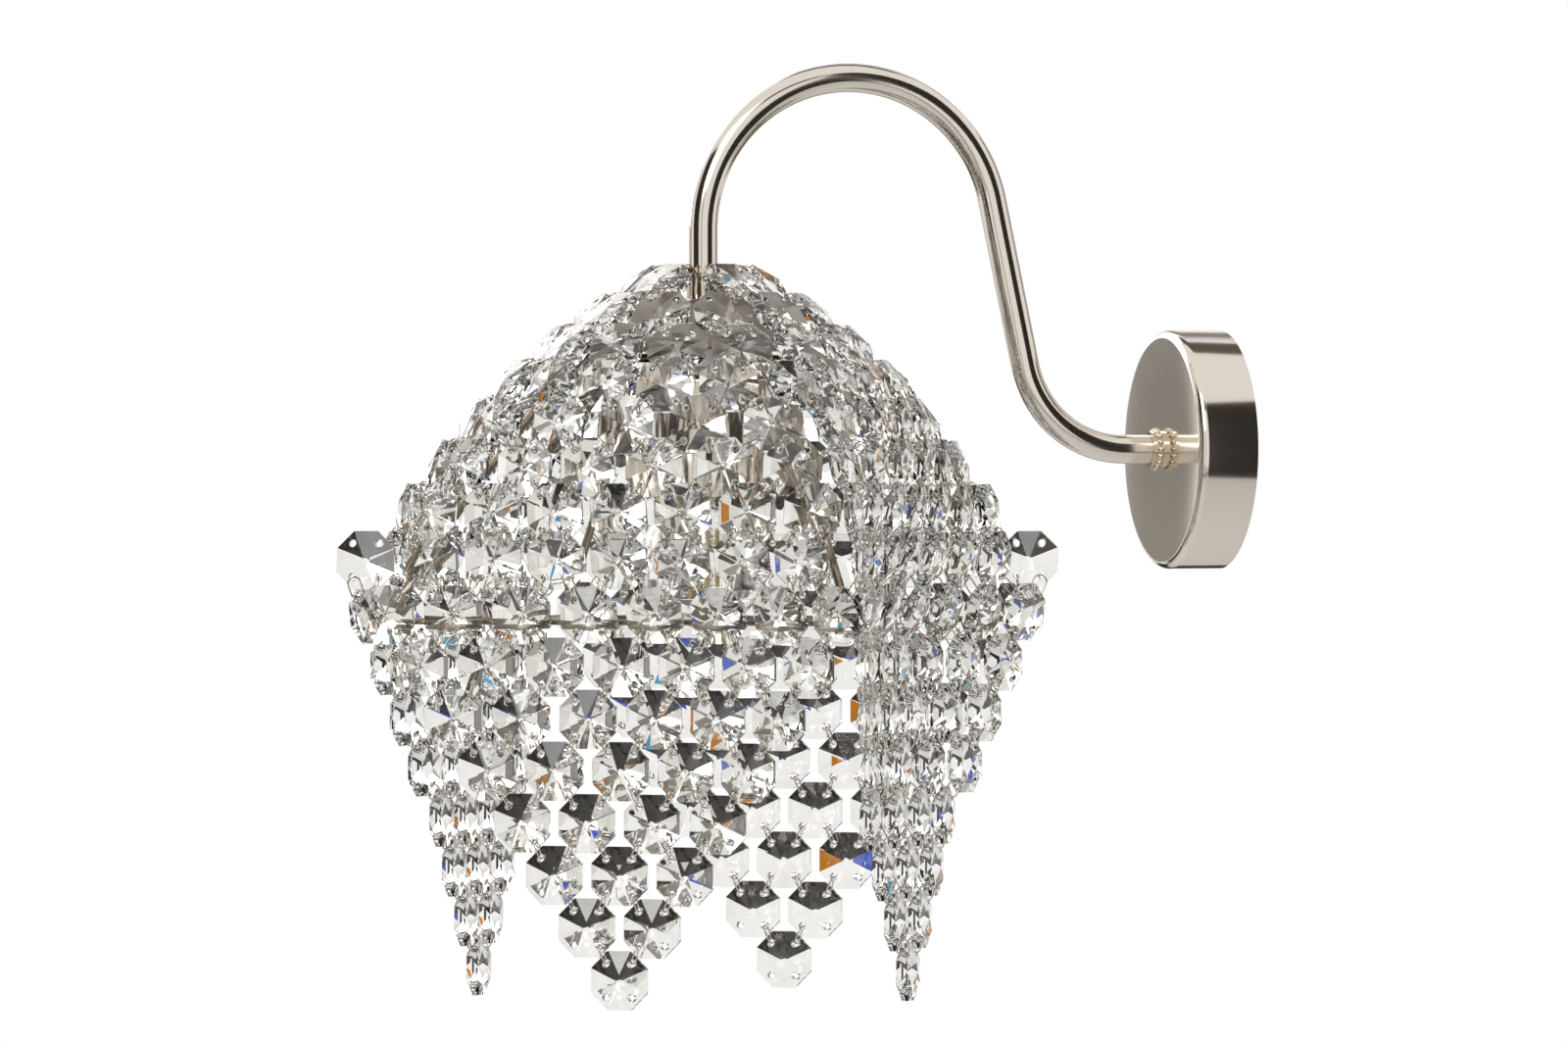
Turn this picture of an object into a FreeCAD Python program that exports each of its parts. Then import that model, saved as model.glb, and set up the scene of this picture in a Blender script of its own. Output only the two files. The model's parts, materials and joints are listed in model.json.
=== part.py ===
"""Crystal wall sconce: a round cup on the wall, a swan-neck arm and a hanging four-cornered net of
octagon crystals around one lamp.

Millimetres. The origin is the centre of the cup's back face, where it meets the wall. +Y points into
the wall, so the arm reaches out along -Y, and +Z is up. The shade hangs about a vertical axis that
lies in the plane X = 0.
"""
import FreeCAD
import Part
import math
import os

V = FreeCAD.Vector

# ---- wall side ----
CUP_DIAMETER = 84.0
CUP_DEPTH = 21.0
CUP_WALL = 1.2
CUP_EDGE_RADIUS = 3.0
BRACKET_LENGTH = 72.0
BRACKET_WIDTH = 16.0
BRACKET_THICKNESS = 2.0
BRACKET_SLOT_SPACING = 54.0
BRACKET_SLOT_LENGTH = 10.0
BRACKET_SLOT_WIDTH = 4.5
BRACKET_TAB_HEIGHT = 12.0
TAB_GAP = 0.3
CUP_SCREW_DIAMETER = 3.0
CUP_SCREW_FROM_WALL = 7.0
CUP_SCREW_SLOT = 0.6
TERMINAL_LENGTH = 24.0
TERMINAL_WIDTH = 10.0
TERMINAL_HEIGHT = 9.0
TERMINAL_FROM_CENTRE = 11.0
TERMINAL_SCREW_DIAMETER = 2.6
EARTH_SCREW_DIAMETER = 4.0
EARTH_HEAD_DIAMETER = 7.0
EARTH_HEAD_HEIGHT = 2.2
EARTH_FROM_CENTRE = 14.0

# ---- arm ----
TUBE_DIAMETER = 10.0
TUBE_BORE = 7.6
ARM_REACH = 188.8
ARM_TOP = 128.9
FOOT_REACH = 65.3
FOOT_LEAN = 11.9
FOOT_BEND_RADIUS = 37.0
TUBE_END_HEIGHT = 62.0
COLLAR_DIAMETER = 15.0
COLLAR_LENGTH = 4.7
COLLAR_BEAD_COUNT = 16
COLLAR_BEAD_DIAMETER = 2.3
ARM_SPIGOT = 9.0
ARM_SCREW_FROM_CUP = 6.2
ARM_SCREW_DIAMETER = 2.0
NUT_WIDTH = 13.0
NUT_THICKNESS = 3.0
WASHER_DIAMETER = 18.0
WASHER_THICKNESS = 1.0
FIT = 0.1

# ---- shade head ----
NIPPLE_DIAMETER = 7.5
NIPPLE_BORE = 5.0
NIPPLE_IN_TUBE = 12.0
CROWN_DIAMETER = 26.0
CROWN_THICKNESS = 1.6
CROWN_HOLE_RADIUS = 1.2
SPACER_DIAMETER = 12.0
CAP_DIAMETER = 86.0
CAP_HEIGHT = 16.5
CAP_WALL = 1.2
CAP_EDGE_HEIGHT = 35.0
HUB_DIAMETER = 40.0
HUB_THICKNESS = 6.0
HUB_TOP = 34.0
RIB_DIAMETER = 3.0
RIB_SOCKET = 8.0
RIM_WIRE_DIAMETER = 2.0
RIB_BEND_RADIUS = 46.0
RIB_BOW = 2.0
CORNER_CLEAR = 18.0
RIM_WIRE_GAP = 1.5
RIM_WIRE_PART = 0.7
HOLDER_CUP_DIAMETER = 46.0
HOLDER_CUP_HEIGHT = 37.0
HOLDER_CUP_WALL = 1.0
HOLDER_BODY_DIAMETER = 38.0
HOLDER_BODY_HEIGHT = 30.0
SOCKET_BORE = 27.0
SOCKET_DEPTH = 24.0
CONTACT_WIDTH = 6.0
CONTACT_THICKNESS = 1.0
BULB_CAP_DIAMETER = 26.0
BULB_CAP_HEIGHT = 22.0
BULB_NECK_DIAMETER = 24.0
BULB_GLOBE_DIAMETER = 45.0
BULB_LENGTH = 76.0
BULB_GLASS = 0.8

# ---- crystal net ----
SHADE_TURN = 8.0
CORNER_RADIUS = 135.0
NET_TOP = 66.0
NET_RIM = -57.0
NET_ROUNDNESS = 1.3
TOP_ROW_RADIUS = 24.0
TOP_ROW_COUNT = 6
NET_ROWS = 9
RIM_PER_SIDE = 8
NET_PITCH = 23.6
SHINGLE_TILT = 14.0
FOLD_START = 0.3
CORNER_GAP = 3.0
BEAD_WIDTH = 20.0
BEAD_THICKNESS = 7.0
BEAD_GIRDLE = 1.4
HOLE_SIDE = 4.5
HOLE_UP = 5.7
HOLE_RADIUS = 1.3
LINK_WIRE = 0.6
LINK_HALF_WIDTH = 2.4
LINK_LENGTH = 6.8
LINK_STEP = 0.4
LINK_LONGEST = 13.5
FLAT_ROWS = 4
FRINGE_ROWS = 3

# Each side hangs in a fold between two corners: how near its middle comes to the axis, and how many
# degrees the fold lies round from the middle of the side.
SIDES = (("front", 80.0, 7.0), ("wall", 72.0, -4.0), ("back", 80.0, 3.0), ("outer", 82.0, 4.0))

AXIS = V(0, -ARM_REACH, 0)
UP = V(0, 0, 1)


def turned(degrees):
    a = math.radians(degrees)
    return V(math.cos(a), math.sin(a), 0)


def cylinder(radius, low, high, centre=AXIS):
    return Part.makeCylinder(radius, high - low, centre + UP * low, UP)


def along_y(radius, y_low, y_high, x=0.0, z=0.0):
    return Part.makeCylinder(radius, y_high - y_low, V(x, y_low, z), V(0, 1, 0))


def ring(outer, inner, low, high):
    return cylinder(outer, low, high).cut(cylinder(inner, low - 1, high + 1))


def hexagon(width, low, high, bore):
    corners = [AXIS + turned(60 * i) * (width / math.sqrt(3)) + UP * low for i in range(7)]
    face = Part.Face(Part.makePolygon(corners))
    return face.extrude(UP * (high - low)).cut(cylinder(bore, low - 1, high + 1))


def hexagon_y(width, y_low, y_high, bore):
    corners = [V(math.cos(math.radians(60 * i)), 0, math.sin(math.radians(60 * i))) * (width / math.sqrt(3))
               + V(0, y_low, 0) for i in range(7)]
    face = Part.Face(Part.makePolygon(corners))
    return face.extrude(V(0, y_high - y_low, 0)).cut(along_y(bore, y_low - 1, y_high + 1))


def revolved(profile):
    """Turn a closed outline of (radius, height) pairs about the shade's axis."""
    points = [AXIS + V(r, 0, z) for r, z in profile]
    face = Part.Face(Part.makePolygon(points + points[:1]))
    return face.revolve(AXIS, UP, 360)


# ---------------------------------------------------------------- wall side

def make_cup():
    outside = along_y(CUP_DIAMETER / 2, -CUP_DEPTH, 0)
    front = [e for e in outside.Edges if abs(e.BoundBox.YMin + CUP_DEPTH) < 1e-6
             and abs(e.BoundBox.YMax + CUP_DEPTH) < 1e-6]
    outside = outside.makeFillet(CUP_EDGE_RADIUS, front)
    hollow = along_y(CUP_DIAMETER / 2 - CUP_WALL, -CUP_DEPTH + CUP_WALL, 1)
    inner_front = [e for e in hollow.Edges if abs(e.BoundBox.YMin + CUP_DEPTH - CUP_WALL) < 1e-6
                   and abs(e.BoundBox.YMax + CUP_DEPTH - CUP_WALL) < 1e-6]
    hollow = hollow.makeFillet(CUP_EDGE_RADIUS - CUP_WALL / 2, inner_front)
    cup = outside.cut(hollow).cut(along_y(ARM_SPIGOT / 2 + FIT, -CUP_DEPTH - 1, 0))
    for side in (1, -1):
        cup = cup.cut(Part.makeCylinder(CUP_SCREW_DIAMETER / 2 + FIT, CUP_DIAMETER,
                                        V(0, -CUP_SCREW_FROM_WALL, 0), V(0, 0, side)))
    return cup


def make_bracket():
    half = BRACKET_LENGTH / 2
    strip = Part.makeBox(BRACKET_WIDTH, BRACKET_THICKNESS, BRACKET_LENGTH,
                         V(-BRACKET_WIDTH / 2, -BRACKET_THICKNESS, -half))
    for side in (1, -1):
        low = half - BRACKET_THICKNESS if side > 0 else -half
        tab = Part.makeBox(BRACKET_WIDTH / 2, BRACKET_TAB_HEIGHT, BRACKET_THICKNESS,
                           V(-BRACKET_WIDTH / 4, -BRACKET_TAB_HEIGHT, low))
        strip = strip.fuse(tab)
        strip = strip.cut(Part.makeCylinder(CUP_SCREW_DIAMETER / 2, 2 * half,
                                            V(0, -CUP_SCREW_FROM_WALL, 0), V(0, 0, side)))
        centre = side * BRACKET_SLOT_SPACING / 2
        flat = (BRACKET_SLOT_LENGTH - BRACKET_SLOT_WIDTH) / 2
        slot = Part.makeBox(BRACKET_SLOT_WIDTH, 3 * BRACKET_THICKNESS, 2 * flat,
                            V(-BRACKET_SLOT_WIDTH / 2, -2 * BRACKET_THICKNESS, centre - flat))
        for end in (-flat, flat):
            slot = slot.fuse(along_y(BRACKET_SLOT_WIDTH / 2, -2 * BRACKET_THICKNESS, BRACKET_THICKNESS,
                                     0, centre + end))
        strip = strip.cut(slot)
    strip = strip.cut(along_y(EARTH_SCREW_DIAMETER / 2, -2 * BRACKET_THICKNESS, 1, 0, EARTH_FROM_CENTRE))
    return strip.removeSplitter()


def make_cup_screws():
    """Two slotted grub screws that pull the cup onto the bracket's tabs from above and below."""
    screws = []
    inner = BRACKET_LENGTH / 2 - BRACKET_THICKNESS
    length = CUP_DIAMETER / 2 - inner
    for side in (1, -1):
        start = V(0, -CUP_SCREW_FROM_WALL, side * inner)
        body = Part.makeCylinder(CUP_SCREW_DIAMETER / 2, length, start, V(0, 0, side))
        slot = Part.makeBox(CUP_SCREW_DIAMETER * 2, CUP_SCREW_SLOT, 2 * CUP_SCREW_SLOT,
                            V(-CUP_SCREW_DIAMETER, -CUP_SCREW_FROM_WALL - CUP_SCREW_SLOT / 2,
                              side * CUP_DIAMETER / 2 - CUP_SCREW_SLOT))
        screws.append(body.cut(slot))
    return Part.makeCompound(screws)


def terminal_ways():
    step = TERMINAL_LENGTH / 3
    return [-step, 0.0, step]


def make_terminal_block():
    x = -TERMINAL_LENGTH / 2
    z = -TERMINAL_FROM_CENTRE - TERMINAL_WIDTH
    base = -BRACKET_THICKNESS
    block = Part.makeBox(TERMINAL_LENGTH, TERMINAL_HEIGHT, TERMINAL_WIDTH, V(x, base - TERMINAL_HEIGHT, z))
    for way in terminal_ways():
        bore = Part.makeCylinder(TERMINAL_SCREW_DIAMETER / 2, TERMINAL_WIDTH + 2,
                                 V(way, base - TERMINAL_HEIGHT / 3, z - 1), UP)
        well = along_y(TERMINAL_SCREW_DIAMETER / 2 + FIT, base - TERMINAL_HEIGHT - 1,
                       base - TERMINAL_HEIGHT / 3, way, z + TERMINAL_WIDTH / 2)
        block = block.cut(bore).cut(well)
    return block


def make_terminal_screws():
    z = -TERMINAL_FROM_CENTRE - TERMINAL_WIDTH / 2
    top = -BRACKET_THICKNESS - TERMINAL_HEIGHT + 1.0
    bottom = -BRACKET_THICKNESS - TERMINAL_HEIGHT / 3 - TERMINAL_SCREW_DIAMETER / 2
    screws = []
    for way in terminal_ways():
        body = along_y(TERMINAL_SCREW_DIAMETER / 2, top, bottom, way, z)
        slot = Part.makeBox(TERMINAL_SCREW_DIAMETER * 2, 1.0, CUP_SCREW_SLOT,
                            V(way - TERMINAL_SCREW_DIAMETER, top, z - CUP_SCREW_SLOT / 2))
        screws.append(body.cut(slot))
    return Part.makeCompound(screws)


def make_earth_screw():
    head_back = -BRACKET_THICKNESS
    head_front = head_back - EARTH_HEAD_HEIGHT
    head = along_y(EARTH_HEAD_DIAMETER / 2, head_front, head_back, 0, EARTH_FROM_CENTRE)
    shank = along_y(EARTH_SCREW_DIAMETER / 2, head_back, -0.2, 0, EARTH_FROM_CENTRE)
    slot = Part.makeBox(EARTH_HEAD_DIAMETER * 2, 1.0, 1.0,
                        V(-EARTH_HEAD_DIAMETER, head_front, EARTH_FROM_CENTRE - 0.5))
    return head.fuse(shank).cut(slot)


# ---------------------------------------------------------------- arm

def arm_path():
    """Centre line of the arm: straight out of the cup, bent up, over the arch and down to the shade."""
    lean = math.radians(FOOT_LEAN)
    rise = V(0, -math.sin(lean), math.cos(lean))
    foot = V(0, -FOOT_REACH, 0)
    turn = math.pi / 2 - lean
    tangent = FOOT_BEND_RADIUS * math.tan(turn / 2)
    start = V(0, -CUP_DEPTH + CUP_WALL + NUT_THICKNESS + WASHER_THICKNESS + 2.0, 0)
    bend_in = foot + V(0, tangent, 0)
    bend_out = foot + rise * tangent
    bend_centre = V(0, bend_in.y, FOOT_BEND_RADIUS)
    bend_mid = bend_centre + (foot - bend_centre).normalize() * FOOT_BEND_RADIUS
    side = V(0, math.cos(lean), math.sin(lean))
    span = (AXIS - foot).dot(side) + ARM_TOP * side.z
    radius = -span / (1 + side.y - side.z)
    arch_centre = V(0, AXIS.y + radius, ARM_TOP - radius)
    arch_in = arch_centre + side * radius
    arch_top = V(0, arch_centre.y, ARM_TOP)
    arch_out = V(0, AXIS.y, arch_centre.z)
    end = V(0, AXIS.y, TUBE_END_HEIGHT)
    edges = [Part.LineSegment(start, bend_in).toShape(),
             Part.Arc(bend_in, bend_mid, bend_out).toShape(),
             Part.LineSegment(bend_out, arch_in).toShape(),
             Part.Arc(arch_in, arch_top, arch_out).toShape(),
             Part.LineSegment(arch_out, end).toShape()]
    return Part.Wire(edges)


def swept(path, radius):
    start = path.OrderedVertexes[0].Point
    direction = path.OrderedEdges[0].tangentAt(path.OrderedEdges[0].FirstParameter)
    circle = Part.Wire(Part.Circle(start, direction, radius).toShape())
    return path.makePipeShell([circle], True, False)


def make_arm():
    path = arm_path()
    tube = swept(path, TUBE_DIAMETER / 2).cut(swept(path, TUBE_BORE / 2))
    spigot = along_y(TUBE_DIAMETER, -CUP_DEPTH, 0).cut(along_y(ARM_SPIGOT / 2, -CUP_DEPTH - 1, 1))
    tube = tube.cut(spigot)
    return tube.cut(Part.makeCylinder(ARM_SCREW_DIAMETER / 2, TUBE_DIAMETER,
                                      V(0, -CUP_DEPTH - ARM_SCREW_FROM_CUP, 0), V(1, 0, 0)))


def make_arm_screw():
    wall = (TUBE_DIAMETER - TUBE_BORE) / 2
    start = V(TUBE_BORE / 2, -CUP_DEPTH - ARM_SCREW_FROM_CUP, 0)
    body = Part.makeCylinder(ARM_SCREW_DIAMETER / 2, wall, start, V(1, 0, 0))
    slot = Part.makeBox(1.0, ARM_SCREW_DIAMETER * 2, 0.4,
                        V(TUBE_DIAMETER / 2 - 0.6, start.y - ARM_SCREW_DIAMETER, -0.2))
    return body.cut(slot)


def make_collar():
    """A ring with a row of little beads round it, against the cup's face."""
    back = -CUP_DEPTH
    core_radius = (COLLAR_DIAMETER - COLLAR_BEAD_DIAMETER) / 2
    collar = along_y(core_radius, back - COLLAR_LENGTH, back)
    for i in range(COLLAR_BEAD_COUNT):
        a = 2 * math.pi * i / COLLAR_BEAD_COUNT
        at = V(core_radius * math.cos(a), back - COLLAR_LENGTH / 2, core_radius * math.sin(a))
        collar = collar.fuse(Part.makeSphere(COLLAR_BEAD_DIAMETER / 2, at, V(0, 1, 0)))
    return collar.cut(along_y(TUBE_DIAMETER / 2 + FIT, back - COLLAR_LENGTH - 1, back + 1))


def make_arm_washer():
    front = -CUP_DEPTH + CUP_WALL
    washer = along_y(WASHER_DIAMETER / 2, front, front + WASHER_THICKNESS)
    return washer.cut(along_y(ARM_SPIGOT / 2 + FIT, front - 1, front + WASHER_THICKNESS + 1))


def make_arm_nut():
    front = -CUP_DEPTH + CUP_WALL + WASHER_THICKNESS
    return hexagon_y(NUT_WIDTH, front, front + NUT_THICKNESS, ARM_SPIGOT / 2)


def make_cable_bush():
    """Insulating bush in the tube's inner end, where the lead enters."""
    end = -CUP_DEPTH + CUP_WALL + NUT_THICKNESS + WASHER_THICKNESS + 2.0
    lip = along_y(ARM_SPIGOT / 2, end, end + 1.0)
    sleeve = along_y(TUBE_BORE / 2 - FIT, end - 6.0, end)
    return lip.fuse(sleeve).cut(along_y(TUBE_BORE / 2 - 1.0, end - 7.0, end + 2.0))


# ---------------------------------------------------------------- shade head

CROWN_TOP = TUBE_END_HEIGHT
CAP_TOP = CAP_EDGE_HEIGHT + CAP_HEIGHT
CAP_SPHERE = ((CAP_DIAMETER / 2) ** 2 + CAP_HEIGHT ** 2) / (2 * CAP_HEIGHT)
HOLDER_CUP_TOP = HUB_TOP - HUB_THICKNESS - NUT_THICKNESS
HOLDER_CUP_BOTTOM = HOLDER_CUP_TOP - HOLDER_CUP_HEIGHT
INNER_NUT_TOP = HOLDER_CUP_TOP - HOLDER_CUP_WALL
HOLDER_BODY_TOP = INNER_NUT_TOP - NUT_THICKNESS
HOLDER_BODY_BOTTOM = HOLDER_BODY_TOP - HOLDER_BODY_HEIGHT
CROWN_HOLE_CIRCLE = CROWN_DIAMETER / 2 - 2.6


def make_nipple():
    return ring(NIPPLE_DIAMETER / 2, NIPPLE_BORE / 2, HOLDER_BODY_TOP, TUBE_END_HEIGHT + NIPPLE_IN_TUBE)


def make_crown(hooks):
    """The disc that the top row of crystals hangs from, one hole for each link."""
    crown = ring(CROWN_DIAMETER / 2, NIPPLE_DIAMETER / 2 + FIT, CROWN_TOP - CROWN_THICKNESS, CROWN_TOP)
    for at in hooks:
        crown = crown.cut(Part.makeCylinder(CROWN_HOLE_RADIUS, 3 * CROWN_THICKNESS,
                                            V(at.x, at.y, CROWN_TOP - 2 * CROWN_THICKNESS), UP))
    return crown


def make_cap_spacer():
    return ring(SPACER_DIAMETER / 2, NIPPLE_DIAMETER / 2 + FIT, CAP_TOP, CROWN_TOP - CROWN_THICKNESS)


def make_cap():
    """A shallow metal dome over the frame's hub."""
    centre = AXIS + UP * (CAP_TOP - CAP_SPHERE)
    dome = Part.makeSphere(CAP_SPHERE, centre).cut(Part.makeSphere(CAP_SPHERE - CAP_WALL, centre))
    keep = cylinder(CAP_DIAMETER, CAP_EDGE_HEIGHT, CAP_TOP + 1)
    seat = ring(SPACER_DIAMETER / 2, NIPPLE_DIAMETER / 2 + FIT, CAP_TOP - 2 * CAP_WALL, CAP_TOP)
    dome = dome.common(keep).fuse(seat)
    return dome.cut(cylinder(NIPPLE_DIAMETER / 2 + FIT, CAP_EDGE_HEIGHT - 1, CAP_TOP + 1))


def make_hub_spacer():
    return ring(SPACER_DIAMETER / 2, NIPPLE_DIAMETER / 2 + FIT, HUB_TOP, CAP_TOP - 2 * CAP_WALL)


def make_hub():
    low = HUB_TOP - HUB_THICKNESS
    hub = ring(HUB_DIAMETER / 2, NIPPLE_DIAMETER / 2 + FIT, low, HUB_TOP)
    for corner in range(4):
        out = turned(corner_angle(corner))
        start = AXIS + UP * (HUB_TOP - HUB_THICKNESS / 2) + out * (HUB_DIAMETER / 2 - RIB_SOCKET)
        hub = hub.cut(Part.makeCylinder(RIB_DIAMETER / 2, HUB_DIAMETER, start, out))
    return hub


def make_hub_nut():
    low = HUB_TOP - HUB_THICKNESS - NUT_THICKNESS
    return hexagon(NUT_WIDTH, low, low + NUT_THICKNESS, NIPPLE_DIAMETER / 2)


def make_holder_nut():
    return hexagon(NUT_WIDTH, INNER_NUT_TOP - NUT_THICKNESS, INNER_NUT_TOP, NIPPLE_DIAMETER / 2)


def make_holder_cup():
    outside = cylinder(HOLDER_CUP_DIAMETER / 2, HOLDER_CUP_BOTTOM, HOLDER_CUP_TOP)
    top = [e for e in outside.Edges if abs(e.BoundBox.ZMin - HOLDER_CUP_TOP) < 1e-6
           and abs(e.BoundBox.ZMax - HOLDER_CUP_TOP) < 1e-6]
    outside = outside.makeFillet(2 * HOLDER_CUP_WALL, top)
    hollow = cylinder(HOLDER_CUP_DIAMETER / 2 - HOLDER_CUP_WALL, HOLDER_CUP_BOTTOM - 1,
                      HOLDER_CUP_TOP - HOLDER_CUP_WALL)
    rim = [e for e in hollow.Edges if abs(e.BoundBox.ZMin - HOLDER_CUP_TOP + HOLDER_CUP_WALL) < 1e-6
           and abs(e.BoundBox.ZMax - HOLDER_CUP_TOP + HOLDER_CUP_WALL) < 1e-6]
    hollow = hollow.makeFillet(HOLDER_CUP_WALL, rim)
    return outside.cut(hollow).cut(cylinder(NIPPLE_DIAMETER / 2 + FIT, 0, HOLDER_CUP_TOP + 1))


def make_holder_body():
    """Insulating lampholder: a cup with a bore for the bulb's screw cap."""
    body = cylinder(HOLDER_BODY_DIAMETER / 2, HOLDER_BODY_BOTTOM, HOLDER_BODY_TOP)
    body = body.cut(cylinder(SOCKET_BORE / 2, HOLDER_BODY_BOTTOM - 1, HOLDER_BODY_BOTTOM + SOCKET_DEPTH))
    bead = cylinder(HOLDER_CUP_DIAMETER / 2 - HOLDER_CUP_WALL - FIT, HOLDER_BODY_BOTTOM + 4,
                    HOLDER_BODY_BOTTOM + 7)
    return body.fuse(bead.cut(cylinder(HOLDER_BODY_DIAMETER / 2 - 1, 0 - 40, 40)))


def make_centre_contact():
    roof = HOLDER_BODY_BOTTOM + SOCKET_DEPTH
    strip = Part.makeBox(CONTACT_WIDTH, SOCKET_BORE * 0.7, CONTACT_THICKNESS,
                         AXIS + V(-CONTACT_WIDTH / 2, -SOCKET_BORE * 0.35, roof - CONTACT_THICKNESS))
    return strip


def make_bulb_cap():
    """Screw cap with a rounded thread and a solder button."""
    top = HOLDER_BODY_BOTTOM + SOCKET_DEPTH - CONTACT_THICKNESS - 0.3
    low = top - BULB_CAP_HEIGHT
    radius = BULB_CAP_DIAMETER / 2
    turns = 5
    groove = 0.7
    step = (BULB_CAP_HEIGHT - 6.0) / turns
    profile = [(0, low), (radius - groove, low), (radius - groove, low + 1.5)]
    for i in range(turns):
        z = low + 1.5 + i * step
        profile += [(radius, z + step * 0.35), (radius, z + step * 0.6), (radius - groove, z + step)]
    profile += [(radius * 0.4, top - 1.2), (radius * 0.4, top), (0, top)]
    return revolved(profile)


def bulb_outline(inset):
    """Half outline of the glass, from the screw cap round the globe to the lowest point."""
    top = HOLDER_BODY_BOTTOM + SOCKET_DEPTH - CONTACT_THICKNESS - 0.3 - BULB_CAP_HEIGHT
    globe = BULB_GLOBE_DIAMETER / 2
    bottom = top - (BULB_LENGTH - BULB_CAP_HEIGHT)
    centre = bottom + globe
    neck = BULB_NECK_DIAMETER / 2
    lift = math.asin(neck * 0.94 / globe)
    points = [(neck - inset, top), (neck - inset, top - 3.0)]
    steps = 16
    for i in range(steps + 1):
        a = lift + (math.pi - lift) * i / steps
        points.append(((globe - inset) * math.sin(a), centre + (globe - inset) * math.cos(a)))
    points[-1] = (0, bottom + inset)
    return points


def make_bulb_glass():
    outside = bulb_outline(0.0)
    inside = bulb_outline(BULB_GLASS)
    return revolved(outside + inside[::-1])


# ---------------------------------------------------------------- crystal net

def corner_angle(corner):
    return SHADE_TURN - 90.0 + 90.0 * corner


def ridge_height(radius):
    share = min(radius / CORNER_RADIUS, 1.0)
    return NET_RIM + (NET_TOP - NET_RIM) * (1 - share ** NET_ROUNDNESS) ** (1 / NET_ROUNDNESS)


def ridge_rows():
    """Radii at the corners of the net's rows, evenly spaced along the ridge down to the rim."""
    steps = 400
    radii = [TOP_ROW_RADIUS + (CORNER_RADIUS - TOP_ROW_RADIUS) * i / steps for i in range(steps + 1)]
    lengths = [0.0]
    for a, b in zip(radii, radii[1:]):
        lengths.append(lengths[-1] + math.hypot(b - a, ridge_height(b) - ridge_height(a)))
    rows = []
    for row in range(NET_ROWS):
        wanted = lengths[-1] * row / (NET_ROWS - 1)
        i = max(k for k in range(steps + 1) if lengths[k] <= wanted + 1e-9)
        rows.append(radii[i])
    return rows


def plan_point(side, share, radius):
    """A point of the net's cross section, share of the way along one side, radius at its corners."""
    name, near, drift = SIDES[side]
    start = corner_angle(side)
    fold = max(0.0, (radius / CORNER_RADIUS - FOLD_START) / (1 - FOLD_START)) ** 1.5
    first = turned(start) * radius
    last = turned(start + 90) * radius
    middle = turned(start + 45 + drift) * (near * radius / CORNER_RADIUS)
    control = middle * 2 - (first + last) * 0.5
    star = first * (1 - share) ** 2 + control * (2 * share * (1 - share)) + last * share ** 2
    circle = turned(start + 90 * share) * radius
    return circle * (1 - fold) + star * fold


class Bead:
    """One crystal: its centre, its sideways, upward and outward directions."""

    def __init__(self, centre, across, up):
        self.centre = centre
        self.across = across.normalize()
        out = self.across.cross(up).normalize()
        self.out = out
        self.up = out.cross(self.across).normalize()
        self.used = set()

    def tilted(self, degrees):
        a = math.radians(degrees)
        up = self.up * math.cos(a) - self.out * math.sin(a)
        return Bead(self.centre, V(self.across), up)

    def hole(self, side, level):
        return self.centre + self.across * (side * HOLE_SIDE) + self.up * (level * HOLE_UP)


def net_row(radius, above, below, count, phase):
    """Beads spaced evenly by length round one closed row of the net."""
    fine = 60
    samples = []
    for side in range(4):
        for i in range(fine):
            samples.append((side, i / fine))
    points = [plan_point(s, t, radius) for s, t in samples]
    closed = points + points[:1]
    lengths = [0.0]
    for a, b in zip(closed, closed[1:]):
        lengths.append(lengths[-1] + (b - a).Length)
    beads = []
    side_lengths = [lengths[fine * s] for s in range(5)]
    per_side = count // 4 if count % 4 == 0 else 0
    for i in range(count):
        if per_side:
            side, k = divmod(i, per_side)
            spare = CORNER_GAP if radius == below else 0.0
            low, high = side_lengths[side] + spare, side_lengths[side + 1] - spare
            wanted = low + (high - low) * (k + phase) / per_side
        else:
            wanted = lengths[-1] * (i + phase) / count
        j = max(n for n in range(len(lengths)) if lengths[n] <= wanted + 1e-9) % len(samples)
        share = (wanted - lengths[j]) / (lengths[j + 1] - lengths[j])
        side, t = samples[j]
        t += share / fine
        centre = plan_point(side, t, radius)
        across = (closed[j + 1] - closed[j]).normalize()
        higher = plan_point(side, t, above) + UP * ridge_height(above)
        lower = plan_point(side, t, below) + UP * ridge_height(below)
        at = AXIS + centre + UP * ridge_height(radius)
        beads.append(Bead(at, across, higher - lower).tilted(-SHINGLE_TILT))
    return beads


def net_counts(radii):
    counts = []
    for radius in radii:
        around = 0.0
        points = [plan_point(s, i / 24, radius) for s in range(4) for i in range(24)]
        for a, b in zip(points, points[1:] + points[:1]):
            around += (b - a).Length
        counts.append(4 * max(1, round(around / NET_PITCH / 4)))
    counts[0] = TOP_ROW_COUNT
    counts[-1] = 4 * RIM_PER_SIDE
    return counts


def make_net():
    radii = ridge_rows()
    counts = net_counts(radii)
    rows = []
    phase = 0.5
    for row in range(NET_ROWS - 1, -1, -1):
        above = radii[row - 1] if row else radii[0] - 6
        below = radii[row + 1] if row + 1 < NET_ROWS else radii[row]
        rows.insert(0, net_row(radii[row], above, below, counts[row], phase))
        if row and counts[row - 1] == counts[row]:
            phase = 0.5 - phase
        else:
            phase = 0.5
    return rows


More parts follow.
